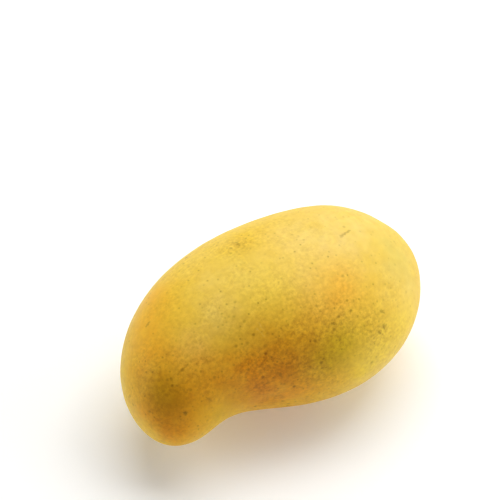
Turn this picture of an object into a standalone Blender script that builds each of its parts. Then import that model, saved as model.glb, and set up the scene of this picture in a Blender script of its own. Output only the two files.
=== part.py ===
# A ripe kidney-shaped mango, lying on one cheek, with the dried stub of its stem.
#
# The fruit's own axes: +X is the stem end and -X the beak, +Y the arched back and -Y the belly
# with its shallow bay before the beak, and Z goes through the two cheeks. The fruit is then
# leaned and rolled into the pose it rests in, set on z = 0, and centred over the origin.
# All lengths are in metres and all angles in degrees.

import math

import bpy
import numpy as np
from mathutils import Matrix, Vector

# Body: control values, first at the stem end and last at the beak
CORE_LINE = ((0.0595, 0.0030), (0.0260, -0.0070), (0.0145, 0.0030), (-0.0415, 0.0110), (-0.0545, -0.0235))
CORE_RISE = (0.0, -0.0010, 0.0020, -0.0010, 0.0)
HALF_WIDTH = (0.0420, 0.0385, 0.0345, 0.0355, 0.0330, 0.0300)
CHEEK_RATIO = (0.88, 0.83, 0.82, 1.10)      # thickness through the cheeks over width
SECTION_TURN = (8.0, -21.0, 9.0, 42.0)
SECTION_TWIST = (0.0, -2.0, 3.0, 5.0)
BACK_FULLNESS = 0.07                         # how much thicker the back is than the belly
UNEVENNESS = 0.00025                         # height of the slow waves in the skin

# Bay in the belly: its place and spread are shares of the way from stem end to beak
BAY_DEPTH = 0.0044
BAY_AT = 0.68
BAY_SPREAD = 0.11
BAY_NARROWNESS = 3                           # higher keeps the bay closer to the belly's middle

# Resting pose
LEAN = -0.5                                  # below 0 lifts the stem end
ROLL = 14.5                                  # above 0 lifts the back and lowers the belly
FLAT_PRESS = 0.0004                          # how far the lowest skin is pressed flat

# Stem basin, measured along the skin from the middle of the stem end
BASIN_DEPTH = 0.0017
BASIN_SPREAD = 0.0055
SHOULDER_HEIGHT = 0.00035
SHOULDER_AT = 0.0110
SHOULDER_SPREAD = 0.0040
PLEAT_COUNT = 6
PLEAT_HEIGHT = 0.00018
PLEAT_AT = 0.0070
PLEAT_SPREAD = 0.0026
ROUND_SPREAD = 0.0080                        # the basin starts round and takes on the body's section

# Socket in the basin, and the stub that sits in it
SOCKET_RADIUS = 0.0035
SOCKET_DEPTH = 0.0018
FIT_GAP = 0.0003
STUB_PROUD = 0.0009                          # how far the stub's rim stands above the socket's lip
STUB_TOOTH_COUNT = 5
STUB_TOOTH_DEPTH = 0.14                      # notch depth over radius
STUB_PIT_RADIUS = 0.0011
STUB_PIT_DEPTH = 0.0007
STUB_BEVEL = 0.0004

# Mesh density
BODY_SEGMENTS = 64
BODY_RINGS = 52
RING_CROWDING = 1.2                          # above 1 sets the rings closer at the stem end
STUB_SEGMENTS = 30

# Finishes: linear colour, roughness
SKIN_COLOUR = (0.871, 0.533, 0.072, 1.0)
SKIN_ROUGHNESS = 0.46
STUB_COLOUR = (0.036, 0.020, 0.010, 1.0)
STUB_ROUGHNESS = 0.85

# The stem's direction in the fruit's own axes
STEM_AXIS = np.array([math.cos(math.radians(SECTION_TURN[0])), math.sin(math.radians(SECTION_TURN[0])), 0.0])


def clear_scene():
    for leftover in list(bpy.data.objects):
        bpy.data.objects.remove(leftover, do_unlink=True)


def blend(values, along):
    # Bernstein blend of control values: the first counts fully at 0, the last at 1
    degree = len(values) - 1
    weights = [math.comb(degree, k) * along**k * (1 - along) ** (degree - k) for k in range(degree + 1)]
    return sum(weight * value for weight, value in zip(weights, values))


def bump(distance, centre, spread):
    return np.exp(-(((distance - centre) / spread) ** 2))


def skin_points(along, around):
    # Points of the skin in the fruit's own axes, as rings by segments by xyz.
    # along: 0 at the middle of the stem end, 1 at the tip of the beak.
    # around: radians, 0 on the back, a quarter turn on the upper cheek.
    along = np.asarray(along)[:, None]
    around = np.asarray(around)[None, :]
    dome = 2 * np.sqrt(along * (1 - along))
    share = np.arccos(1 - 2 * along) / math.pi
    from_stem = 2 * HALF_WIDTH[0] * np.sqrt(along)
    settled = 1 - bump(np.maximum(from_stem, SOCKET_RADIUS), SOCKET_RADIUS, ROUND_SPREAD)

    half_width = dome * blend(HALF_WIDTH, along)
    half_cheek = half_width * (1 - settled * (1 - blend(CHEEK_RATIO, along)))
    waves = (
        np.sin(2 * around + 7 * along + 0.6)
        + 0.7 * np.sin(3 * around - 11 * along + 2.0)
        + 0.3 * np.sin(5 * around + 4 * along)
    )
    swell = UNEVENNESS * settled * dome * waves
    across = (half_width + swell) * np.cos(around)
    across = across + BAY_DEPTH * bump(share, BAY_AT, BAY_SPREAD) * ((1 - np.cos(around)) / 2) ** BAY_NARROWNESS
    through = (half_cheek + swell) * np.sin(around) * (1 + BACK_FULLNESS * settled * np.cos(around))

    twist = np.radians(blend(SECTION_TWIST, along))
    across, through = (
        across * np.cos(twist) - through * np.sin(twist),
        across * np.sin(twist) + through * np.cos(twist),
    )

    basin = SHOULDER_HEIGHT * bump(from_stem, SHOULDER_AT, SHOULDER_SPREAD)
    basin = basin - BASIN_DEPTH * bump(from_stem, 0.0, BASIN_SPREAD)
    pleats = np.cos(PLEAT_COUNT * around + 0.8 * np.sin(around))
    basin = basin + PLEAT_HEIGHT * bump(from_stem, PLEAT_AT, PLEAT_SPREAD) * pleats

    turn = np.radians(blend(SECTION_TURN, along))
    core_x = blend([point[0] for point in CORE_LINE], along)
    core_y = blend([point[1] for point in CORE_LINE], along)
    x = core_x - across * np.sin(turn) + basin * STEM_AXIS[0]
    y = core_y + across * np.cos(turn) + basin * STEM_AXIS[1]
    z = blend(CORE_RISE, along) + through
    return np.stack(np.broadcast_arrays(x, y, z), axis=-1)


def lay_down(points):
    # Turns points from the fruit's own axes into the resting pose, still centred on the fruit
    turn = Matrix.Rotation(math.radians(ROLL), 3, "X") @ Matrix.Rotation(math.radians(LEAN), 3, "Y")
    return points @ np.array(turn).T


def ring_places():
    # Places of the rings from the socket's lip to just short of the beak's tip
    lip = 2 * math.asin(SOCKET_RADIUS / (2 * HALF_WIDTH[0]))
    step = math.pi / BODY_RINGS
    angles = lip + (math.pi - step - lip) * np.linspace(0, 1, BODY_RINGS) ** RING_CROWDING
    return (1 - np.cos(angles)) / 2


def closed_tube(rings, first_centre, last_centre):
    # Vertices and faces of stacked rings, with a fan of triangles on each end.
    # The segments of a ring run anticlockwise as seen from the last ring.
    ring_count, segments = rings.shape[:2]
    vertices = np.concatenate([rings.reshape(-1, 3), [first_centre], [last_centre]])
    first = ring_count * segments
    last = first + 1
    faces = []
    for k in range(segments):
        after = (k + 1) % segments
        faces.append((first, after, k))
        for ring in range(ring_count - 1):
            low = ring * segments
            high = low + segments
            faces.append((low + k, low + after, high + after, high + k))
        top = (ring_count - 1) * segments
        faces.append((last, top + k, top + after))
    return vertices, faces


def finish(name, colour, roughness):
    material = bpy.data.materials.new(name)
    material.use_nodes = True
    surface = material.node_tree.nodes["Principled BSDF"]
    surface.inputs["Base Color"].default_value = colour
    surface.inputs["Roughness"].default_value = roughness
    surface.inputs["Metallic"].default_value = 0.0
    material.diffuse_color = colour
    return material


def solid(name, vertices, faces, material):
    mesh = bpy.data.meshes.new(name)
    mesh.from_pydata([tuple(point) for point in vertices], [], faces)
    mesh.validate()
    mesh.shade_smooth()
    mesh.materials.append(material)
    piece = bpy.data.objects.new(name, mesh)
    bpy.context.collection.objects.link(piece)
    return piece


def mango_fruit():
    # The whole fruit in one skin: socket floor, socket wall, basin, body and beak
    places = ring_places()
    around = np.linspace(0, 2 * math.pi, BODY_SEGMENTS, endpoint=False)
    skin = skin_points(places, around)
    floor = skin[0] - SOCKET_DEPTH * STEM_AXIS
    rings = lay_down(np.concatenate([floor[None], skin]))
    tip = lay_down(skin_points([1.0], around)[0].mean(axis=0))
    socket_middle = rings[0].mean(axis=0)
    vertices, faces = closed_tube(rings[:, ::-1], socket_middle, tip)

    low = vertices.min(axis=0)
    high = vertices.max(axis=0)
    shift = np.array([-(low[0] + high[0]) / 2, -(low[1] + high[1]) / 2, -low[2] - FLAT_PRESS])
    vertices = vertices + shift
    vertices[:, 2] = np.maximum(vertices[:, 2], 0.0)
    fruit = solid("mango_fruit", vertices, faces, finish("mango_skin", SKIN_COLOUR, SKIN_ROUGHNESS))
    return fruit, socket_middle + shift


def stem_stub(socket_middle):
    # A woody plug turned about its own Z, with a notched rim and a pit where the veins dried
    radius = SOCKET_RADIUS - FIT_GAP
    lip = SOCKET_DEPTH - FIT_GAP
    rim = lip + STUB_PROUD
    profile = (
        (radius - STUB_BEVEL, 0.0, 0.0),
        (radius, STUB_BEVEL, 0.0),
        (radius, lip, 0.0),
        (radius - STUB_BEVEL / 2, rim - STUB_BEVEL / 2, 1.0),
        (radius - 2 * STUB_BEVEL, rim, 1.0),
        (STUB_PIT_RADIUS, rim - STUB_PIT_DEPTH, 0.4),
    )
    around = np.linspace(0, 2 * math.pi, STUB_SEGMENTS, endpoint=False)
    notches = 0.5 - 0.5 * np.cos(STUB_TOOTH_COUNT * around + 0.7 * np.sin(2 * around))
    rings = []
    for ring_radius, height, notched in profile:
        reach = ring_radius * (1 - STUB_TOOTH_DEPTH * notched * notches)
        rings.append(np.stack([reach * np.cos(around), reach * np.sin(around), np.full(STUB_SEGMENTS, height)], -1))
    pit_floor = (0.0, 0.0, rim - STUB_PIT_DEPTH)
    vertices, faces = closed_tube(np.array(rings), (0.0, 0.0, 0.0), pit_floor)
    stub = solid("stem_stub", vertices, faces, finish("dried_stem", STUB_COLOUR, STUB_ROUGHNESS))

    outward = Vector(lay_down(STEM_AXIS))
    stub.rotation_euler = outward.to_track_quat("Z", "Y").to_euler()
    stub.location = Vector(socket_middle) + FIT_GAP * outward
    return stub


def main():
    clear_scene()
    whole = bpy.data.objects.new("mango", None)
    bpy.context.collection.objects.link(whole)
    fruit, socket_middle = mango_fruit()
    stub = stem_stub(socket_middle)
    fruit.parent = whole
    stub.parent = whole


main()
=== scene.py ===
# A ripe mango lying on a pale table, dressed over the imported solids.

import math

import bpy
import numpy as np
from mathutils import Matrix, Vector


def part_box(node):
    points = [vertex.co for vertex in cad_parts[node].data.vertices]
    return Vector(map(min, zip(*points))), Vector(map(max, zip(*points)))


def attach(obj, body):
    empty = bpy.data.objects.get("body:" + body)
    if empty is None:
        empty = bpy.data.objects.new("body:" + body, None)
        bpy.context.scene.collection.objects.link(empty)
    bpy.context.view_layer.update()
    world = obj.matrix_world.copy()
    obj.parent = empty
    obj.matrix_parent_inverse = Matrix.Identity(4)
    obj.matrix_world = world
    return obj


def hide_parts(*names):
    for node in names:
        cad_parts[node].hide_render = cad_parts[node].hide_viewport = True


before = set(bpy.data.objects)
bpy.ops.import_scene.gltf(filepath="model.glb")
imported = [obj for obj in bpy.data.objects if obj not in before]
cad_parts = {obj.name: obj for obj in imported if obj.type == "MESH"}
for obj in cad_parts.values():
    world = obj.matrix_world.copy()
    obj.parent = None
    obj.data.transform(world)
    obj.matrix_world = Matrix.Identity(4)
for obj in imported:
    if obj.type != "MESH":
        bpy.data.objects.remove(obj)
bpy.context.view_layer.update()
print("frame loaded, nodes:", ", ".join(sorted(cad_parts)))

mm = 0.001  # everything below is worked out in millimetres and set down in metres
tiny = 1e-9  # stands in for a length of 0 where something is divided by it
mixA, mixB, mixResult = 6, 7, 2  # the colour sockets of a Mix node


# Small tools

def hexColour(code):
    # sRGB hex to linear RGBA
    channels = np.array([int(code[k:k + 2], 16) for k in (1, 3, 5)]) / 255
    linear = np.where(channels <= 0.04045, channels / 12.92, ((channels + 0.055) / 1.055) ** 2.4)
    return (*linear.tolist(), 1.0)


def blend(values, along):
    # Bernstein blend: the first value counts fully at 0, the last at 1
    degree = len(values) - 1
    weights = [math.comb(degree, k) * along**k * (1 - along) ** (degree - k) for k in range(degree + 1)]
    return sum(weight * value for weight, value in zip(weights, values))


def hump(distance, centre, spread):
    # a bell: 1 at the centre, about a third one spread away
    return np.exp(-((distance - centre) / spread) ** 2)


def addNode(tree, kind, links=(), **settings):
    # one node, its own settings, then its inputs by name or number: a value or another node's output
    node = tree.nodes.new(kind)
    for name, value in settings.items():
        setattr(node, name, value)
    for socket, value in dict(links).items():
        if isinstance(value, bpy.types.NodeSocket):
            tree.links.new(value, node.inputs[socket])
        else:
            node.inputs[socket].default_value = value
    return node


def waveSum(waves, around, along=0):
    # the sum of sine waves round a ring: each has a height, a count round, a drift along and a phase
    return sum(
        height * np.sin(count * around + drift * along + phase) for height, count, drift, phase in waves)


def planeWaves(waves, points):
    # the sum of plane waves, whose directions, lengths in millimetres and phases come from a fixed seed,
    # over the root of their count
    draw = np.random.default_rng(waves["seed"])
    total = np.zeros(points.shape[:-1])
    for wave in range(waves["count"]):
        direction = draw.normal(size=3)
        direction /= np.linalg.norm(direction)
        length = draw.uniform(*waves["lengths"])
        total += np.sin(points @ direction * 2 * math.pi / length + draw.uniform(0, waves["lastPhase"]))
    return total / math.sqrt(waves["count"])


def towards(azimuth, elevation):
    # the direction of an azimuth, 0 in front and growing to the right, and an elevation, in degrees
    azimuth, elevation = math.radians(azimuth), math.radians(elevation)
    return np.array([
        math.sin(azimuth) * math.cos(elevation), -math.cos(azimuth) * math.cos(elevation),
        math.sin(elevation)])


def newMaterial(name):
    # a material with nothing in its node tree yet
    material = bpy.data.materials.new(name)
    material.use_nodes = True
    tree = material.node_tree
    tree.nodes.clear()
    return material, tree


def blobs(tree, place, size, spread, detail=3.0, roughness=0.6, cuts=(0.3, 0.7)):
    # noise in blobs this many millimetres across, its values between the two cuts spread over a range
    value = addNode(tree, "ShaderNodeTexNoise", {
        "Vector": place, "Scale": 1 / (size * mm), "Detail": detail, "Roughness": roughness}).outputs[0]
    return addNode(tree, "ShaderNodeMapRange", {
        "Value": value, "From Min": cuts[0], "From Max": cuts[1],
        "To Min": spread[0], "To Max": spread[1]}).outputs[0]


def overlap(tree, mask, *others):
    # where masks meet: their product, held to 1 at each step
    for other in others:
        mask = addNode(tree, "ShaderNodeMath", {
            0: mask, 1: other}, operation="MULTIPLY", use_clamp=True).outputs[0]
    return mask


def layOver(tree, colour, layers):
    # lays colours over the first, one after another; each layer is a mask, a colour and a blend type
    for mask, over, blendType in layers:
        colour = addNode(tree, "ShaderNodeMix", {
            0: mask, mixA: colour, mixB: over}, data_type="RGBA", blend_type=blendType).outputs[mixResult]
    return colour


def surfacePiece(name, rings, material, attributes=None, closed=True):
    # a grid of rings by segments by xyz in millimetres, closed round and by a fan at each end, or at the
    # first end alone; the segments of a ring run anticlockwise as seen from the last ring
    ringCount, segmentCount = rings.shape[:2]
    ends = [0, -1] if closed else [0]
    points = np.concatenate([rings.reshape(-1, 3), [rings[end].mean(axis=0) for end in ends]])
    low = np.arange(ringCount - 1)[:, None] * segmentCount
    here = np.arange(segmentCount)
    after = (here + 1) % segmentCount
    high = low + segmentCount
    quads = np.stack([low + here, low + after, high + after, high + here], -1)
    firstCentre = np.full(segmentCount, ringCount * segmentCount)
    lastRing = (ringCount - 1) * segmentCount
    startFan = np.stack([firstCentre, after, here], -1)
    endFan = np.stack([firstCentre + 1, lastRing + here, lastRing + after], -1)
    faces = quads.reshape(-1, 4).tolist() + startFan.tolist() + (endFan.tolist() if closed else [])
    mesh = bpy.data.meshes.new(name)
    mesh.from_pydata((points * mm).tolist(), [], faces)
    mesh.shade_smooth()
    for key, grid in (attributes or {}).items():
        values = np.concatenate([grid.reshape(-1), [grid[end].mean() for end in ends]])
        mesh.attributes.new(key, "FLOAT", "POINT").data.foreach_set("value", values.astype(np.float32))
    mesh.materials.append(material)
    piece = bpy.data.objects.new(name, mesh)
    bpy.context.scene.collection.objects.link(piece)
    return piece


# The fruit's skin

mangoShape = {
    # body, from the stem end to the beak, in the fruit's own axes (x to the stem, y to the back)
    "coreLine": [(59.5, 3.0), (26.0, -7.0), (14.5, 3.0), (-41.5, 11.0), (-54.5, -23.5)],
    "coreRise": [0.0, -1.0, 2.0, -1.0, 0.0],
    "halfWidth": [42.0, 38.5, 34.5, 35.5, 33.0, 30.0],
    "cheekRatio": [0.88, 0.83, 0.82, 1.10],
    "sectionTurn": [8.0, -21.0, 9.0, 42.0],
    "sectionTwist": [0.0, -2.0, 3.0, 5.0],
    "backFullness": 0.07,
    # slow hollows and swellings; each wave has its height, count round, drift along and phase
    "unevenness": 0.25, "slowWaves": [(1.0, 2, 7, 0.6), (0.7, 3, -11, 2.0), (0.3, 5, 4, 0.0)],
    # bay in the belly, by the share of the way from the stem end to the beak
    "bayDepth": 4.4, "bayAt": 0.68, "baySpread": 0.11, "bayNarrowness": 3,
    # resting pose
    "lean": -0.5, "roll": 14.5, "flatPress": 0.4,
    # stem basin, by distance from the stem's middle
    "basinDepth": 1.7, "basinSpread": 5.5,
    "shoulderHeight": 0.35, "shoulderAt": 11.0, "shoulderSpread": 4.0,
    "pleatCount": 6, "pleatUneven": [(0.8, 1, 0, 0.0)],
    "pleatHeight": 0.18, "pleatAt": 7.0, "pleatSpread": 2.6,
    "roundSpread": 8.0, "socketRadius": 3.5, "socketDepth": 1.8, "socketEdge": 0.3, "socketInset": 0.999,
    # corky lip round the socket and the fine folds that run out from it
    "lipHeight": 0.3, "lipAt": 3.85, "lipSpread": 0.4, "lipWaves": [(0.3, 5, 0, 1.0), (0.25, 11, 0, 0.0)],
    "lipRagged": 0.12, "lipTorn": 0.8, "lipTornSpread": 0.5,
    "raggedWaves": [(0.5, 5, 0, 0.5), (0.4, 8, 0, 2.0), (0.25, 17, 0, 0.0)],
    "foldCount": 17, "foldHeight": 0.08, "foldAt": 6.0, "foldSpread": 2.2,
    "foldUneven": [(1.3, 3, 0, 0.0)], "foldTwist": 0.15,
    # soft dimples of the skin: plane waves through the fruit
    "dimpleHeight": 0.03,
    "dimples": {"seed": 11, "count": 14, "lengths": (7.0, 16.0), "lastPhase": 2 * math.pi},
    "rings": 250, "segments": 340, "ringCrowding": 1.25,
}


def stemFolds(shape, fromStem, around):
    # fine folds that run out from the stem, not quite evenly set: 1 on a ridge and -1 in a crease
    uneven = waveSum(shape["foldUneven"], around)
    return np.cos(shape["foldCount"] * around + uneven + shape["foldTwist"] * fromStem)


def ownPoints(shape, along, around):
    # Skin in the fruit's own axes. Each section is an ellipse on the core line, turned and twisted:
    # half width = 2 sqrt(a(1-a)) times a blend of half widths, thickness = that times the cheek ratio,
    # fuller on the back, drawn in at the bay on the belly, and pushed in along the stem at the basin.
    along, around = along[:, None], around[None, :]
    dome = 2 * np.sqrt(along * (1 - along))
    share = np.arccos(1 - 2 * along) / math.pi
    fromStem = 2 * shape["halfWidth"][0] * np.sqrt(along)
    socket = shape["socketRadius"]
    settled = 1 - hump(np.maximum(fromStem, socket), socket, shape["roundSpread"])

    torn = (waveSum(shape["raggedWaves"], around) - shape["lipTorn"]) * shape["lipRagged"] / socket
    tornLip = 1 + torn * hump(fromStem, socket, shape["lipTornSpread"])
    halfWidth = dome * blend(shape["halfWidth"], along) * tornLip
    halfCheek = halfWidth * (1 - settled * (1 - blend(shape["cheekRatio"], along)))
    swell = shape["unevenness"] * settled * dome * waveSum(shape["slowWaves"], around, along)
    belly = ((1 - np.cos(around)) / 2) ** shape["bayNarrowness"]
    across = (halfWidth + swell) * np.cos(around)
    across = across + shape["bayDepth"] * hump(share, shape["bayAt"], shape["baySpread"]) * belly
    through = (halfCheek + swell) * np.sin(around)
    through = through * (1 + shape["backFullness"] * settled * np.cos(around))

    twist = np.radians(blend(shape["sectionTwist"], along))
    turnedAcross = across * np.cos(twist) - through * np.sin(twist)
    turnedThrough = across * np.sin(twist) + through * np.cos(twist)

    basin = shape["shoulderHeight"] * hump(fromStem, shape["shoulderAt"], shape["shoulderSpread"])
    basin = basin - shape["basinDepth"] * hump(fromStem, 0, shape["basinSpread"])
    pleats = np.cos(shape["pleatCount"] * around + waveSum(shape["pleatUneven"], around))
    basin = basin + shape["pleatHeight"] * hump(fromStem, shape["pleatAt"], shape["pleatSpread"]) * pleats
    folds = stemFolds(shape, fromStem, around)
    basin = basin + shape["foldHeight"] * hump(fromStem, shape["foldAt"], shape["foldSpread"]) * folds
    lip = shape["lipHeight"] * (1 + waveSum(shape["lipWaves"], around))
    basin = basin + hump(fromStem, shape["lipAt"], shape["lipSpread"]) * lip

    turn = np.radians(blend(shape["sectionTurn"], along))
    stemTurn = math.radians(shape["sectionTurn"][0])
    x = blend([p[0] for p in shape["coreLine"]], along) - turnedAcross * np.sin(turn)
    y = blend([p[1] for p in shape["coreLine"]], along) + turnedAcross * np.cos(turn)
    z = blend(shape["coreRise"], along) + turnedThrough
    return np.stack([x + basin * math.cos(stemTurn), y + basin * math.sin(stemTurn), z], -1)


def poseMatrix(shape):
    # lean about the fruit's Y, then roll about its X
    roll = Matrix.Rotation(math.radians(shape["roll"]), 3, "X")
    lean = Matrix.Rotation(math.radians(shape["lean"]), 3, "Y")
    return np.array(roll @ lean)


def outwardNormals(grid):
    # normals of a grid that is closed round: the cross of its two differences, turned to point outwards
    down = np.gradient(grid, axis=0)
    over = np.roll(grid, -1, axis=1) - np.roll(grid, 1, axis=1)
    normals = np.cross(down, over)
    normals /= np.maximum(np.linalg.norm(normals, axis=2, keepdims=True), tiny)
    middleRing = grid[len(grid) // 2]
    outward = np.sum(normals[len(grid) // 2] * (middleRing - middleRing.mean(axis=0)))
    return normals * np.sign(outward)


def skinGrid(shape):
    # rings from the socket's lip to just short of the beak's tip, laid in the resting pose
    lip = 2 * math.asin(shape["socketRadius"] / (2 * shape["halfWidth"][0]))
    step = math.pi / shape["rings"]
    angles = lip + (math.pi - step - lip) * np.linspace(0, 1, shape["rings"]) ** shape["ringCrowding"]
    along = (1 - np.cos(angles)) / 2
    around = np.linspace(2 * math.pi, 0, shape["segments"], endpoint=False)
    skin = ownPoints(shape, along, around)
    fromStem = 2 * shape["halfWidth"][0] * np.sqrt(along)[:, None]
    faded = 1 - hump(fromStem, shape["socketRadius"], shape["roundSpread"])
    dimples = planeWaves(shape["dimples"], skin)
    skin = skin + (shape["dimpleHeight"] * faded * dimples)[..., None] * outwardNormals(skin)
    return skin @ poseMatrix(shape).T, along, around


def restOn(shape, points):
    # the shift that centres the fruit in its CAD box and presses its lowest skin into the table
    low, high = (np.array(corner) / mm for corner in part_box("mango_fruit"))
    ownLow, ownHigh = points.min(axis=(0, 1)), points.max(axis=(0, 1))
    shift = (low + high) / 2 - (ownLow + ownHigh) / 2
    shift[2] = low[2] - ownLow[2] - shape["flatPress"]
    return shift


skin, skinAlong, skinAround = skinGrid(mangoShape)
fruitMiddle = restOn(mangoShape, skin)  # where the fruit's own origin stands, in millimetres
skin = skin + fruitMiddle
skin[..., 2] = np.maximum(skin[..., 2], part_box("mango_fruit")[0][2] / mm)
stemTurn = math.radians(mangoShape["sectionTurn"][0])
stemAxis = poseMatrix(mangoShape) @ np.array([math.cos(stemTurn), math.sin(stemTurn), 0])
print("skin worked out:", skin.shape[0], "rings of", skin.shape[1])


# Camera, which stands where it shows the fruit with the photograph's outline

photoView = {
    "elevation": 55.0, "azimuth": -30.2,
    "millimetresPerPixel": 0.36,
    "lens": 120.0, "sensor": 36.0, "pixels": 500,
    "fruitMiddleAtPixel": (268.6, 320.3),
    "pictureMiddle": 249.5,
    "outside": 1e6,  # pixels, added to where the skin's hidden points fall
    "clipStart": 0.01,
}


def cameraFrame(view):
    # the camera's place, its forward, right and up directions, and its focal length in pixels
    back = towards(view["azimuth"], view["elevation"])
    focal = view["pixels"] * view["lens"] / view["sensor"]
    place = fruitMiddle + back * view["millimetresPerPixel"] * focal
    upright = np.array([0, 0, 1])
    sideways = np.cross(-back, upright)
    sideways /= np.linalg.norm(sideways)
    overhead = np.cross(sideways, -back)
    pixelX, pixelY = view["fruitMiddleAtPixel"]
    aim = fruitMiddle - sideways * (pixelX - view["pictureMiddle"]) * view["millimetresPerPixel"]
    aim = aim + overhead * (pixelY - view["pictureMiddle"]) * view["millimetresPerPixel"]
    forward = (aim - place) / np.linalg.norm(aim - place)
    right = np.cross(forward, upright)
    right /= np.linalg.norm(right)
    return place, forward, right, np.cross(right, forward), focal


def makeCamera(view):
    place, forward, right, up, focal = cameraFrame(view)
    lens = bpy.data.cameras.new("camera")
    lens.lens = view["lens"]
    lens.sensor_width = view["sensor"]
    lens.clip_start = view["clipStart"]
    camera = bpy.data.objects.new("camera", lens)
    turn = Matrix(np.stack([right, up, -forward], axis=1).tolist()).to_4x4()
    camera.matrix_world = Matrix.Translation(Vector(place * mm)) @ turn
    bpy.context.scene.collection.objects.link(camera)
    bpy.context.scene.camera = camera


makeCamera(photoView)
print("camera placed")


def pixelsOfSkin(view):
    # the pixel of the photograph that each point of the skin falls on, far outside where it faces away
    place, forward, right, up, focal = cameraFrame(view)
    toPoint = skin - place
    depth = toPoint @ forward
    across = view["pictureMiddle"] + focal * (toPoint @ right) / depth
    down = view["pictureMiddle"] - focal * (toPoint @ up) / depth
    hidden = np.sum(outwardNormals(skin) * toPoint, axis=2) >= 0
    return np.stack([across, down], -1) + np.where(hidden, view["outside"], 0)[..., None]


skinPixels = pixelsOfSkin(photoView)


def skinAt(pixel):
    # the point of the skin that the camera sees at a pixel of the photograph
    miss = np.linalg.norm(skinPixels - pixel, axis=2)
    return skin[np.unravel_index(miss.argmin(), miss.shape)]


# Skin finish: waxy satin mango peel, thin and a little translucent over yellow flesh

skinFinish = {
    "yellow": "#efc62c", "paleYellow": "#efcb46",
    # lemon, orange, amber and umber here, and pale below, also serve the drifts as painted shade and painted
    # light
    "lemon": "#ffe04c", "orange": "#fdbd30", "amber": "#f6a418", "umber": "#c67d1a",
    "olive": "#c9ae10", "greyGreen": "#dcc864", "pale": "#f3d882",
    "freckle": "#9a8456", "mottle": "#e6dcc6", "scratch": "#7a5210", "scar": "#e6c45c",
    "halo": "#ee9f2c", "burn": "#b35c10", "crease": "#9a6a1c", "brownRing": "#8a4510", "cork": "#b98f62",
    # socket: the socket's floor and wall, dried tissue painted near black as painted shade in the gap round
    # the stub
    "socket": "#2e190d",
    # patterns, in blobs this many millimetres across
    "tone": {"size": 26, "spread": (0.0, 1.0), "detail": 2.0},
    "breakUp": {"size": 8, "spread": (0.7, 1.25), "detail": 2.0},
    "mottling": [
        {"size": 5.0, "spread": (0.0, 0.3), "detail": 2.5},
        {"size": 2.5, "spread": (0.0, 0.45), "detail": 2.5},
    ],
    "grain": {"size": 1.25, "spread": (0.0, 1.0), "detail": 2.0},
    "grainPatches": {"size": 12, "spread": (0.5, 1.1), "detail": 1.0},
    "smear": {"size": 1.6, "spread": (0.45, 1.1)},
    "corkGrain": {"size": 0.7, "spread": (0.5, 1.2)},
    # strengths that follow a drift: which drift, and the strength where it is 0 and where it is 1
    "mottled": ("freckle", 0.62, 1.2), "grained": ("freckle", 0.36, 1.1), "calm": ("smooth", 1.0, 0.3),
    # what the darkest grain leaves of red, green and blue, and how much more the lightest leaves
    "grainLow": (0.60, 0.47, 0.43), "grainSpan": (0.62, 0.84, 0.90),
    "wander": 0.8, "wanderSize": 0.9,  # how far the edges of marks stray at most, and over what length
    "poreRelief": 0.8, "reliefHeight": 0.06, "reliefStrength": 0.3,
    "roughness": {"size": 6, "spread": (0.45, 0.55)}, "ior": 1.36, "sheenTint": "#fff0ac",
    # light that wanders through the flesh: its share, and how far red, green and blue get
    "translucency": 0.14, "lightReach": (1.0, 0.45, 0.12), "lightDepth": 3,
}
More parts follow.
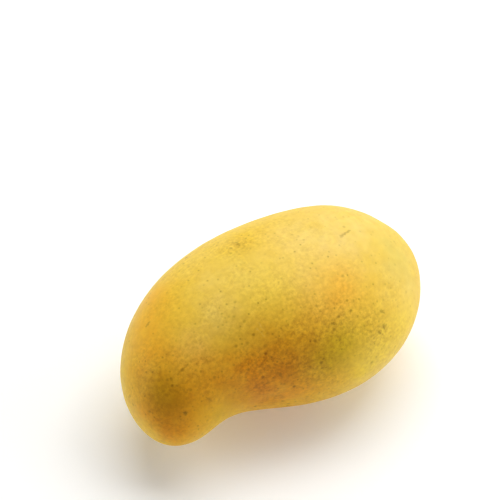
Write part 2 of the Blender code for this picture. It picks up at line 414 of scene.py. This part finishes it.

# Slow drifts of colour, laid over one another in this order. Each patch has its middle at a pixel of the
# photograph, or for the sides that it doesn't show at a share of the way along and an angle round the fruit
# in degrees, and a reach in millimetres.
# Some drifts also paint light and shade into the peel: painted shade along the darker band of the lower middle
# and the beak, painted bounce and rim light along the lower edge, and painted highlight on the lit top.
skinDrifts = {
    # pale: partly the peel's own paler tone; the patches on the lit top and along the right and lower right
    # rims are partly painted highlight and rim light
    "pale": [
        {"at": (352, 228), "reach": 18, "strength": 0.7},
        {"at": (290, 232), "reach": 12, "strength": 0.4},
        {"at": (212, 270), "reach": 13, "strength": 0.35},
        {"at": (408, 298), "reach": 12, "strength": 0.5},
        {"at": (308, 280), "reach": 18, "strength": 0.45},
        {"at": (222, 316), "reach": 7, "strength": 0.35},
        {"at": (196, 343), "reach": 9, "strength": 0.32},
        {"at": (376, 364), "reach": 10, "strength": 0.75},
        {"along": 0.45, "round": -60, "reach": 20, "strength": 0.5},
    ],
    "greyGreen": [
        {"at": (399, 252), "reach": 12, "strength": 0.75},
        {"at": (250, 262), "reach": 10, "strength": 0.25},
        {"along": 0.8, "round": -35, "reach": 16, "strength": 0.6},
    ],
    # lemon: the patches along the lower right rim are partly painted rim light
    "lemon": [
        {"at": (408, 318), "reach": 9, "strength": 0.5},
        {"at": (384, 348), "reach": 10, "strength": 0.6},
        {"at": (358, 370), "reach": 8, "strength": 0.75},
        {"at": (274, 296), "reach": 12, "strength": 0.45},
        {"along": 0.3, "round": -110, "reach": 22, "strength": 0.7},
    ],
    # orange: partly the peel's own blush; the patches along the lower edge, at (330, 380), (290, 388), (190,
    # 425) and (205, 411), are partly painted bounce light from below
    "orange": [
        {"at": (340, 286), "reach": 10, "strength": 0.58},
        {"at": (326, 308), "reach": 9, "strength": 0.15},
        {"at": (330, 380), "reach": 9, "strength": 0.4},
        {"at": (290, 388), "reach": 9, "strength": 0.9},
        {"at": (190, 425), "reach": 9, "strength": 0.9},
        {"at": (205, 411), "reach": 6, "strength": 0.8},
        {"at": (268, 246), "reach": 15, "strength": 0.1},
        {"along": 0.12, "round": -20, "reach": 17, "strength": 0.6},
    ],
    # amber: partly the peel's own blush, partly painted shade, the deeper orange of the shaded lower middle
    # and beak
    "amber": [
        {"at": (145, 346), "reach": 12, "strength": 0.55},
        {"at": (168, 380), "reach": 8, "strength": 0.16},
        {"at": (152, 300), "reach": 9, "strength": 0.4},
        {"at": (144, 405), "reach": 9, "strength": 0.5},
        {"at": (207, 384), "reach": 12, "strength": 0.5},
        {"at": (262, 398), "reach": 7, "strength": 0.3},
        {"at": (176, 432), "reach": 8, "strength": 0.75},
        {"at": (240, 392), "reach": 12, "strength": 0.32},
        {"at": (250, 360), "reach": 12, "strength": 0.3},
        {"at": (178, 414), "reach": 9, "strength": 0.35},
        {"at": (278, 372), "reach": 13, "strength": 0.6},
        {"at": (302, 332), "reach": 12, "strength": 0.4},
        {"along": 0.6, "round": -150, "reach": 17, "strength": 0.5},
    ],
    # umber: partly a brown blush, partly painted shade: it darkens the shaded band along the lower middle and
    # the beak's shaded underside
    "umber": [
        {"at": (290, 360), "reach": 11, "strength": 0.34},
        {"at": (256, 398), "reach": 10, "strength": 0.34},
        {"at": (230, 392), "reach": 8, "strength": 0.22},
        {"at": (210, 374), "reach": 9, "strength": 0.24},
        {"at": (255, 336), "reach": 9, "strength": 0.2},
        {"at": (319, 351), "reach": 8.5, "strength": 0.3},
        {"at": (163, 394), "reach": 8, "strength": 0.6},
        {"at": (177, 408), "reach": 6.5, "strength": 0.35},
    ],
    "olive": [
        {"at": (342, 342), "reach": 8, "strength": 0.42},
        {"at": (324, 358), "reach": 9, "strength": 0.36},
        {"at": (163, 393), "reach": 7, "strength": 0.3},
        {"at": (232, 332), "reach": 8, "strength": 0.2},
        {"at": (288, 320), "reach": 10, "strength": 0.28},
        {"along": 0.88, "round": 150, "reach": 10, "strength": 0.5},
    ],
}

# Where the pores are darkest and closest
freckleDrift = [
    {"at": (335, 322), "reach": 12, "strength": 0.5},
    {"at": (285, 366), "reach": 15, "strength": 1.0},
    {"at": (376, 330), "reach": 7, "strength": 0.6},
    {"at": (238, 245), "reach": 4, "strength": 0.7},
    {"at": (240, 332), "reach": 12, "strength": 0.3},
    {"at": (180, 380), "reach": 13, "strength": 0.5},
    {"along": 0.2, "round": -90, "reach": 20, "strength": 0.6},
    {"along": 0.6, "round": -60, "reach": 14, "strength": 0.5},
    {"along": 0.5, "round": -150, "reach": 18, "strength": 0.6},
]

# Where the peel is smoothest, with little grain and few pores
smoothDrift = [
    {"at": (352, 228), "reach": 15, "strength": 0.7},
    {"at": (402, 258), "reach": 12, "strength": 0.8},
    {"at": (410, 300), "reach": 8, "strength": 0.6},
    {"along": 0.45, "round": -60, "reach": 16, "strength": 0.6},
]

# Round the stem, in millimetres from its middle, and in radians round it from the back
stemMarks = {
    "corkAt": 3.7, "corkRagged": 0.2, "corkSpread": 0.42,
    "ringAt": 4.8, "ringRagged": 0.35, "ringSpread": 0.85,
    "ringAround": 0.3, "ringEven": 0.55, "ringUneven": 0.6,
    "sapAt": 5.6, "sapRagged": 0.8, "sapSpread": 1.3, "sapAround": -1.9, "sapNarrowness": 3,
    "haloAt": 5.0, "haloSpread": 5.0, "haloStrength": 0.8,
    "creaseAt": 6.2, "creaseSpread": 1.8, "creaseNarrowness": 4, "creaseStrength": 0.45,
}


def patchMiddle(patch):
    # the point of the skin nearest to where the patch is said to be
    if "at" in patch:
        return skinAt(patch["at"])
    ring = np.abs(skinAlong - patch["along"]).argmin()
    turned = np.cos(skinAround - math.radians(patch["round"]))
    return skin[ring, turned.argmax()]


def driftGrid(points, patches):
    # the sum of bells round the patches' middles, at most 1
    total = np.zeros(points.shape[:2])
    for patch in patches:
        distance = np.linalg.norm(points - patchMiddle(patch), axis=2)
        total = total + patch["strength"] * hump(distance, 0, patch["reach"])
    return np.minimum(total, 1.0)


def stemGrids(marks, along, around):
    # round the stem, by distance from its middle: a pale corky lip, a ragged brown ring on the upper side,
    # a burnt patch where sap ran down, an orange halo, and brown in the creases between the folds
    fromStem = 2 * mangoShape["halfWidth"][0] * np.sqrt(along)[:, None]
    ragged = waveSum(mangoShape["raggedWaves"], around)
    upper = np.clip(marks["ringEven"] + marks["ringUneven"] * np.cos(around - marks["ringAround"]), 0, 1)
    sapSide = np.clip(np.cos(around - marks["sapAround"]), 0, 1) ** marks["sapNarrowness"]
    creased = np.clip(-stemFolds(mangoShape, fromStem, around), 0, 1) ** marks["creaseNarrowness"]
    halo = marks["haloStrength"] * hump(fromStem, marks["haloAt"], marks["haloSpread"])
    crease = marks["creaseStrength"] * hump(fromStem, marks["creaseAt"], marks["creaseSpread"])
    return {
        "halo": halo + 0 * around,
        "crease": crease * creased,
        "burn": hump(fromStem, marks["sapAt"] + marks["sapRagged"] * ragged, marks["sapSpread"]) * sapSide,
        # a ragged brown ring, strongest on the upper side
        "brownRing": hump(fromStem, marks["ringAt"] + marks["ringRagged"] * ragged, marks["ringSpread"]) * upper,
        "cork": hump(fromStem, marks["corkAt"] + marks["corkRagged"] * ragged, marks["corkSpread"]),
        "socket": 0 * (fromStem + around),
    }


# Marks on the peel: from one pixel of the photograph to another, half their width in millimetres, and a tone
# where it isn't that of a scratch
skinMarks = {
    "shoulderScratch": {"from": (341, 236), "to": (348, 230), "halfWidth": 0.8, "strength": 0.42},
    "beakScratch": {"from": (178, 373), "to": (187, 364), "halfWidth": 0.5, "strength": 0.3},
    "bayDash": {"from": (205, 397), "to": (211, 400), "halfWidth": 0.7, "strength": 0.35},
    "beakDot": {"from": (185, 412), "to": (186, 413), "halfWidth": 1.0, "strength": 0.75},
    "beakDotUpper": {"from": (167, 378), "to": (167, 379), "halfWidth": 0.9, "strength": 0.4},
    "beakBlot": {"from": (190, 394), "to": (191, 397), "halfWidth": 1.5, "strength": 0.4, "tone": "umber"},
    "leftDot": {"from": (146, 325), "to": (149, 322), "halfWidth": 0.7, "strength": 0.4},
    "backSpeckA": {"from": (235, 242), "to": (238, 245), "halfWidth": 0.7, "strength": 0.4},
    "backSpeckB": {"from": (230, 247), "to": (231, 247), "halfWidth": 0.7, "strength": 0.35},
    "sideSpeckA": {"from": (383, 325), "to": (384, 328), "halfWidth": 0.9, "strength": 0.6},
    "sideSpeckB": {"from": (378, 331), "to": (379, 332), "halfWidth": 0.9, "strength": 0.65},
    "sideSpeckC": {"from": (381, 311), "to": (382, 312), "halfWidth": 0.8, "strength": 0.45},
    "midSpeckA": {"from": (332, 323), "to": (334, 323), "halfWidth": 0.9, "strength": 0.65},
    "midSpeckB": {"from": (338, 339), "to": (339, 339), "halfWidth": 0.9, "strength": 0.55},
    "midSpeckC": {"from": (340, 321), "to": (341, 322), "halfWidth": 0.8, "strength": 0.45},
    "bellySpeck": {"from": (280, 373), "to": (281, 375), "halfWidth": 0.8, "strength": 0.45},
    "paleScratchA": {"from": (256, 328), "to": (263, 335), "halfWidth": 0.5, "strength": 0.3, "tone": "scar"},
    "paleScratchB": {"from": (258, 322), "to": (262, 330), "halfWidth": 0.5, "strength": 0.25, "tone": "scar"},
}


def markMask(tree, place, mark):
    # its strength on the straight line between the mark's ends, fading to 0 a half width away
    start, end = skinAt(mark["from"]) * mm, skinAt(mark["to"]) * mm
    run = end - start
    share = run / max(float(run @ run), tiny)
    fromStart = addNode(tree, "ShaderNodeVectorMath", {
        0: place, 1: start.tolist()}, operation="SUBTRACT").outputs[0]
    along = addNode(tree, "ShaderNodeVectorMath", {
        0: fromStart, 1: share.tolist()}, operation="DOT_PRODUCT").outputs["Value"]
    held = addNode(tree, "ShaderNodeClamp", {"Value": along}).outputs["Result"]
    nearest = addNode(tree, "ShaderNodeVectorMath", {
        0: run.tolist(), "Scale": held}, operation="SCALE").outputs[0]
    away = addNode(tree, "ShaderNodeVectorMath", {
        0: fromStart, 1: nearest}, operation="DISTANCE").outputs["Value"]
    return addNode(tree, "ShaderNodeMapRange", {
        "Value": away, "From Min": 0.0, "From Max": mark["halfWidth"] * mm,
        "To Min": mark["strength"], "To Max": 0.0}, interpolation_type="SMOOTHSTEP").outputs["Result"]


# Pores in two sizes, in millimetres: how far apart, the solid and the faded radius, what share of them shows
# where the skin is clearest and where it is most freckled, and how strongly they brown it
skinPores = {
    "fine": {"apart": 1.6, "inner": 0.05, "outer": 0.6, "least": 0.27, "most": 1.0, "strength": 0.58},
    "coarse": {"apart": 2.8, "inner": 0.2, "outer": 0.9, "least": 0.05, "most": 0.95, "strength": 0.75},
}


def poreMask(tree, place, pore, freckled):
    # one dot in each cell of a Voronoi pattern, kept by chance and of a strength drawn for the cell
    cells = addNode(tree, "ShaderNodeTexVoronoi", {"Vector": place, "Scale": 1 / (pore["apart"] * mm)})
    dot = addNode(tree, "ShaderNodeMapRange", {
        "Value": cells.outputs["Distance"],
        "From Min": pore["inner"] / pore["apart"], "From Max": pore["outer"] / pore["apart"],
        "To Min": pore["strength"], "To Max": 0.0}, interpolation_type="SMOOTHSTEP").outputs[0]
    draw = addNode(tree, "ShaderNodeSeparateColor", {0: cells.outputs["Color"]})
    chance = addNode(tree, "ShaderNodeMapRange", {
        "Value": freckled, "To Min": pore["least"], "To Max": pore["most"]}).outputs[0]
    kept = addNode(tree, "ShaderNodeMath", {0: draw.outputs[0], 1: chance}, operation="LESS_THAN").outputs[0]
    return overlap(tree, dot, kept, draw.outputs[1])


def peelMaterial(finish, driftNames):
    # Fresh mango peel: its wax gives a broad soft sheen, and corky pores speckle it brown
    material, tree = newMaterial("waxyMangoPeel")
    place = addNode(tree, "ShaderNodeTexCoord").outputs["Object"]
    drift = {}
    for name in driftNames:
        drift[name] = addNode(tree, "ShaderNodeAttribute", attribute_name=name).outputs["Fac"]
    strength = {}
    for name in ("mottled", "grained", "calm"):
        follows, least, most = finish[name]
        strength[name] = addNode(tree, "ShaderNodeMapRange", {
            "Value": drift[follows], "To Min": least, "To Max": most}).outputs[0]

    def paint(key):
        return hexColour(finish[key])

    # slow tone in two yellows, then the drifts with their edges broken up; some drifts are partly painted
    # shade and painted light
    breakUp = blobs(tree, place, **finish["breakUp"])
    layers = [(blobs(tree, place, **finish["tone"]), paint("paleYellow"), "MIX")]
    for key in [*skinDrifts, "halo"]:
        layers.append((overlap(tree, drift[key], breakUp), paint(key), "MIX"))

    # mottling that also browns the hue, then grain, both strongest among the dark pores
    for pattern in finish["mottling"]:
        mottled = overlap(tree, strength["mottled"], blobs(tree, place, **pattern))
        layers.append((mottled, paint("mottle"), "MULTIPLY"))
    grain = blobs(tree, place, **finish["grain"])
    grainColour = addNode(tree, "ShaderNodeVectorMath", {
        0: grain, 1: finish["grainSpan"], 2: finish["grainLow"]}, operation="MULTIPLY_ADD").outputs[0]
    grainPatches = blobs(tree, place, **finish["grainPatches"])
    grained = overlap(tree, strength["grained"], strength["calm"], grainPatches)
    layers.append((grained, grainColour, "MULTIPLY"))

    pores = []
    for pore in skinPores.values():
        pores.append(overlap(tree, poreMask(tree, place, pore, drift["freckle"]), strength["calm"]))
        layers.append((pores[-1], paint("freckle"), "MULTIPLY"))

    # marks, whose edges are ragged because their coordinates wander
    wander = addNode(tree, "ShaderNodeTexNoise", {
        "Vector": place, "Scale": 1 / (finish["wanderSize"] * mm), "Detail": 2.0}).outputs[1]
    shifted = addNode(tree, "ShaderNodeVectorMath", {
        0: wander, 1: (2 * finish["wander"] * mm,) * 3, 2: place}, operation="MULTIPLY_ADD").outputs[0]
    ragged = addNode(tree, "ShaderNodeVectorMath", {
        0: shifted, 1: (finish["wander"] * mm,) * 3}, operation="SUBTRACT").outputs[0]
    for mark in skinMarks.values():
        layers.append((markMask(tree, ragged, mark), paint(mark.get("tone", "scratch")), "MIX"))

    # round the stem
    smear = blobs(tree, place, **finish["smear"])
    corkGrain = blobs(tree, place, **finish["corkGrain"])
    for key, worn in (("crease", smear), ("burn", smear), ("brownRing", smear), ("cork", corkGrain)):
        layers.append((overlap(tree, drift[key], worn), paint(key), "MIX"))
    # the socket's floor and wall: painted shade in the gap round the stub
    layers.append((drift["socket"], paint("socket"), "MIX"))
    colour = layOver(tree, paint("yellow"), layers)

    # relief: the grain, with the pores standing slightly proud
    poreSum = addNode(tree, "ShaderNodeMath", {0: pores[0], 1: pores[1]}, operation="ADD").outputs[0]
    relief = addNode(tree, "ShaderNodeMath", {
        0: poreSum, 1: finish["poreRelief"], 2: grain}, operation="MULTIPLY_ADD").outputs[0]
    bump = addNode(tree, "ShaderNodeBump", {
        "Height": relief, "Strength": finish["reliefStrength"],
        "Distance": finish["reliefHeight"] * mm}).outputs[0]
    surface = addNode(tree, "ShaderNodeBsdfPrincipled", {
        "Base Color": colour, "Roughness": blobs(tree, place, **finish["roughness"]),
        "IOR": finish["ior"], "Specular Tint": paint("sheenTint"), "Normal": bump,
        "Subsurface Weight": finish["translucency"], "Subsurface Radius": finish["lightReach"],
        "Subsurface Scale": finish["lightDepth"] * mm})
    addNode(tree, "ShaderNodeOutputMaterial", {"Surface": surface.outputs[0]})
    return material


skinGrids = {key: driftGrid(skin, patches) for key, patches in skinDrifts.items()}
skinGrids["freckle"] = driftGrid(skin, freckleDrift)
skinGrids["smooth"] = driftGrid(skin, smoothDrift)
skinGrids.update(stemGrids(stemMarks, skinAlong, skinAround[None, :]))


def socketRings(shape):
    # the socket's floor and wall, inside the first ring of the skin
    lip = skin[:1]
    middle = lip.mean(axis=1, keepdims=True)
    floor = lip - stemAxis * shape["socketDepth"]
    floorInside = middle + (floor - middle) * shape["socketInset"]
    return np.concatenate([floorInside, floor, lip - stemAxis * shape["socketEdge"]])


inner = socketRings(mangoShape)
peelGrids = {}
for key, grid in skinGrids.items():
    peelGrids[key] = np.concatenate([np.repeat(grid[:1], len(inner), axis=0), grid])
# the socket's floor and wall take the socket colour, painted shade in the gap round the stub
peelGrids["socket"][:len(inner)] = 1.0
peel = peelMaterial(skinFinish, skinGrids)
peelPiece = surfacePiece("mangoPeel", np.concatenate([inner, skin]), peel, peelGrids)
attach(peelPiece, "root")
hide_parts("mango_fruit")
print("peel made:", len(peelPiece.data.polygons), "faces,", len(skinMarks), "marks")


# The dried stub of the stem

stubShape = {
    "radius": 3.2, "gap": 0.3, "proud": 0.9, "bevel": 0.4,
    "faceRadius": 2.1, "faceDip": 0.25, "pitRadius": 1.1, "pitDepth": 0.7,
    "pitFloorRadius": 0.5, "pitFloorDepth": 0.95, "centreRadius": 0.1, "centreDepth": 1.0,
    "notched": [0.0, 0.2, 0.9, 1.0, 1.0, 1.0, 0.5, 0.2, 0.0],  # how much, at each corner of the profile
    # notches in the rim, not quite evenly set or deep, with small nicks between
    "teeth": 5, "toothDepth": 0.24, "toothDrop": 0.6, "toothSharpness": 1.5,
    "toothUneven": [(0.7, 2, 0, 0.0)], "toothEven": 0.8, "toothWaves": [(0.2, 2, 0, 1.0)],
    "nicks": 13, "nickDepth": 0.12,
    "fibres": 23, "fibreDepth": 0.06, "fibreUneven": [(1.5, 4, 0, 0.0)], "fibreRise": 1.5, "fibreReach": 0.5,
    "wallInset": 0.04,
    "crumbHeight": 0.12, "crumbSink": 0.6, "crumbFrom": 2.5,  # from this corner of the profile inwards
    "crumbs": {"seed": 5, "count": 26, "lengths": (0.7, 1.9), "lastPhase": 6.28},
    "paleInside": 0.45, "paleSpread": 0.4,
    "rings": 90, "segments": 200,
    "bark": "#452a18", "barkDark": "#120a07", "fibre": "#8a6644", "rimPale": "#a57c55",
    # patterns, in blobs this many millimetres across
    "streaks": {
        "size": 0.9, "spread": (0.0, 1.0), "detail": 4.0, "roughness": 0.7, "cuts": (0.35, 0.65)},
    "paleFibres": {
        "size": 0.45, "spread": (0.0, 0.55), "detail": 4.0, "roughness": 0.7, "cuts": (0.56, 0.68)},
    "roughness": 0.85, "reliefStrength": 0.6, "reliefHeight": 0.2,
}


def stubGrid(shape):
    # A plug turned about the stem's axis: wall, rounded rim, and a face that dips to a pit in the middle.
    # Five notches cut the rim and drop its height, fine fibres run out across the face and down the wall,
    # and short plane waves crumble the face.
    lip = mangoShape["socketDepth"] - shape["gap"]
    rim = lip + shape["proud"]
    radius, bevel = shape["radius"], shape["bevel"]
    profile = np.array([
        (radius - bevel, 0.0), (radius, bevel), (radius, lip),
        (radius - bevel / 3, rim - bevel / 2), (radius - bevel, rim),
        (shape["faceRadius"], rim - shape["faceDip"]), (shape["pitRadius"], rim - shape["pitDepth"]),
        (shape["pitFloorRadius"], rim - shape["pitFloorDepth"]),
        (shape["centreRadius"], rim - shape["centreDepth"])])
    corners = np.arange(len(profile))
    steps = np.linspace(0, len(profile) - 1, shape["rings"])[:, None]
    reach = np.interp(steps, corners, profile[:, 0])
    height = np.interp(steps, corners, profile[:, 1])
    notched = np.interp(steps, corners, shape["notched"])

    around = np.linspace(0, 2 * math.pi, shape["segments"], endpoint=False)[None, :]
    notches = 0.5 - 0.5 * np.cos(shape["teeth"] * around + waveSum(shape["toothUneven"], around))
    notches = notches ** shape["toothSharpness"] * (shape["toothEven"] + waveSum(shape["toothWaves"], around))
    notches = notches + shape["nickDepth"] * np.cos(shape["nicks"] * around) ** 2
    fibres = shape["fibreDepth"] * np.cos(shape["fibres"] * around + waveSum(shape["fibreUneven"], around))
    drop = shape["toothDrop"] * notched * notches * reach / radius
    height = height + shape["fibreRise"] * notched * fibres - drop
    wall = shape["wallInset"] * (1 - notched) * (1 + fibres)
    reach = reach * (1 - shape["toothDepth"] * notched * notches) - wall
    reach = reach + shape["fibreReach"] * notched * fibres
    own = np.stack([reach * np.cos(around), reach * np.sin(around), height + 0 * around], -1)

    crumbled = shape["crumbHeight"] * np.minimum(notched, steps > shape["crumbFrom"])
    own[..., 2] += crumbled * (planeWaves(shape["crumbs"], own) - shape["crumbSink"])
    rimPale = notched * hump(reach, radius - shape["paleInside"], shape["paleSpread"]) * (1 - notches)
    seat = np.array(Vector(stemAxis).to_track_quat("Z", "Y").to_matrix())
    floorMiddle = inner[1].mean(axis=0)
    return own @ seat.T + floorMiddle + stemAxis * shape["gap"], {"rimPale": np.clip(rimPale, 0, 1)}


def woodMaterial(shape):
    # Dried stem wood: dull, near black where it was torn, paler on the rim and along its fibres
    material, tree = newMaterial("driedStemWood")
    place = addNode(tree, "ShaderNodeTexCoord").outputs["Object"]
    streaks = blobs(tree, place, **shape["streaks"])
    paleFibres = blobs(tree, place, **shape["paleFibres"])
    pale = addNode(tree, "ShaderNodeAttribute", attribute_name="rimPale").outputs["Fac"]
    colour = layOver(tree, hexColour(shape["barkDark"]), [
        (streaks, hexColour(shape["bark"]), "MIX"), (paleFibres, hexColour(shape["fibre"]), "MIX"),
        (overlap(tree, pale, streaks), hexColour(shape["rimPale"]), "MIX")])
    bump = addNode(tree, "ShaderNodeBump", {
        "Height": streaks, "Strength": shape["reliefStrength"],
        "Distance": shape["reliefHeight"] * mm}).outputs[0]
    surface = addNode(tree, "ShaderNodeBsdfPrincipled", {
        "Base Color": colour, "Roughness": shape["roughness"], "Normal": bump})
    addNode(tree, "ShaderNodeOutputMaterial", {"Surface": surface.outputs[0]})
    return material


stubSurface, stubGrids = stubGrid(stubShape)
stubPiece = surfacePiece("driedStemStub", stubSurface, woodMaterial(stubShape), stubGrids)
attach(stubPiece, "root")
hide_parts("stem_stub")
print("stem stub made")


# Table and light

# Radius and height in millimetres of the table's profile: flat, then swept up into a low backdrop
floorLook = {
    "profile": [(400, 0), (1000, 0), (1900, 0), (2200, 15), (2400, 60), (2500, 130), (2530, 350)],
    "segments": 128,
    "white": "#f4f4f2", "roughness": 0.7,
    "toothSize": 2, "toothHeight": 0.05, "toothStrength": 0.1,  # coarser than real frosting, so that it shows
    "glow": "#ffffff", "nearGlow": 0.18, "farGlow": 0.6, "glowFrom": 600, "glowTo": 2000,
}


def makeFloor(look):
    # Opal acrylic lit from below, a little near the fruit and more towards the backdrop: matt, nearly white.
    # Its shape is the profile turned about the upright axis.
    material, tree = newMaterial("litOpalTable")
    place = addNode(tree, "ShaderNodeTexCoord").outputs["Object"]
    tooth = addNode(tree, "ShaderNodeTexNoise", {
        "Vector": place, "Scale": 1 / (look["toothSize"] * mm)}).outputs[0]
    bump = addNode(tree, "ShaderNodeBump", {
        "Height": tooth, "Strength": look["toothStrength"], "Distance": look["toothHeight"] * mm}).outputs[0]
    fromMiddle = addNode(tree, "ShaderNodeVectorMath", {0: place}, operation="LENGTH").outputs["Value"]
    glow = addNode(tree, "ShaderNodeMapRange", {
        "Value": fromMiddle, "From Min": look["glowFrom"] * mm, "From Max": look["glowTo"] * mm,
        "To Min": look["nearGlow"], "To Max": look["farGlow"]}, interpolation_type="SMOOTHSTEP").outputs[0]
    surface = addNode(tree, "ShaderNodeBsdfPrincipled", {
        "Base Color": hexColour(look["white"]), "Roughness": look["roughness"], "Normal": bump,
        "Emission Color": hexColour(look["glow"]), "Emission Strength": glow})
    addNode(tree, "ShaderNodeOutputMaterial", {"Surface": surface.outputs[0]})
    around = np.linspace(2 * math.pi, 0, look["segments"], endpoint=False)
    reach, height = np.array(look["profile"], float).T[..., None]
    rings = np.stack([reach * np.cos(around), reach * np.sin(around), height + 0 * around], -1)
    surfacePiece("table", rings, material, closed=False)


makeFloor(floorLook)

# Soft panels, by the direction they stand in from the fruit: azimuth and elevation as the camera's, distance,
# width and height in metres, and power in watts
softPanels = {
    "overheadSoftbox": {"azimuth": 134.8, "elevation": 62, "distance": 1.1, "size": (1.2, 0.7), "power": 12.9},
    "rightSoftbox": {"azimuth": 79.8, "elevation": 50, "distance": 1.1, "size": (0.6, 0.6), "power": 1.6},
    "rightCard": {"azimuth": 59.8, "elevation": 26, "distance": 1.0, "size": (0.7, 0.7), "power": 2.7},
    "leftCard": {"azimuth": -118.2, "elevation": 17, "distance": 1.0, "size": (0.9, 0.6), "power": 3.3},
    "goldFrontCard": {"azimuth": 32, "elevation": 7, "distance": 0.9, "size": (0.8, 0.22), "power": 0.7,
                      "colour": "#ffd9a4"},
}


def makeLights(panels):
    middle = Vector((fruitMiddle * mm).tolist())
    for name, panel in panels.items():
        lamp = bpy.data.lights.new(name, "AREA")
        lamp.shape = "RECTANGLE"
        lamp.size, lamp.size_y = panel["size"]
        lamp.energy = panel["power"]
        lamp.color = hexColour(panel.get("colour", "#ffffff"))[:3]
        away = Vector(towards(panel["azimuth"], panel["elevation"]))
        stand = bpy.data.objects.new(name, lamp)
        stand.location = middle + away * panel["distance"]
        stand.rotation_euler = away.to_track_quat("Z", "Y").to_euler()
        bpy.context.scene.collection.objects.link(stand)
    sky = bpy.data.worlds.new("darkStudio")
    sky.use_nodes = True
    sky.node_tree.nodes["Background"].inputs["Strength"].default_value = 0.0
    bpy.context.scene.world = sky
    bpy.context.scene.view_settings.view_transform = "Standard"


makeLights(softPanels)
print("table and lights set")
